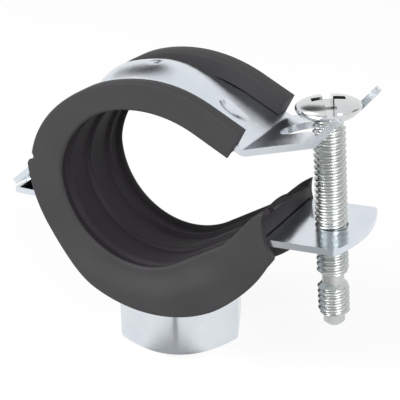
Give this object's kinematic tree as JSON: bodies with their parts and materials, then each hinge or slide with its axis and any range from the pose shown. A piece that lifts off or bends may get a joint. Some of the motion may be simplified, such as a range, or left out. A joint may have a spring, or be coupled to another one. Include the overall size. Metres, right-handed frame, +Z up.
{
  "type": "rubber lined pipe clamp",
  "caption": "Hinged steel pipe clamp with a ribbed rubber liner, a hexagonal connection nut below and a captive closing screw beside the ring.",
  "frame": {"origin": "centre of the connection nut's flat underside, on the axis of its threads", "axes": "+Z up along the threaded rod's axis into the clamp, +X from the hinge towards the closing screw, Y along the pipe"},
  "size_m": [0.0703, 0.0254, 0.0544],
  "materials": {
    "zinc_strap": "bright zinc plated sheet",
    "zinc_nut": "bright zinc plated",
    "zinc_screw": "bright zinc plated",
    "black_rubber": "matt moulded EPDM rubber"
  },
  "bodies": {
    "lower_half": {"lower_strap": "zinc_strap", "connection_nut": "zinc_nut", "rubber_liner": "black_rubber"},
    "upper_half": {"upper_strap": "zinc_strap"},
    "screw": {"closing_screw": "zinc_screw"}
  },
  "joints": [
    {"name": "hinge", "type": "hinge", "parent": "lower_half", "child": "upper_half", "pos_m": [-0.0302, 0, 0.02776], "axis": [0, -1, 0], "range_deg": [-14.5, 5], "deforming": ["rubber_liner"]},
    {"name": "screw_travel", "type": "slide", "parent": "lower_half", "child": "screw", "axis": [-0.0541, 0, 0.9985], "range_m": [-0.0158, 0.0056]}
  ],
  "couplings": [
    {"joint": "screw_travel", "follows": "hinge", "m_per_rad": 0.0605}
  ]
}
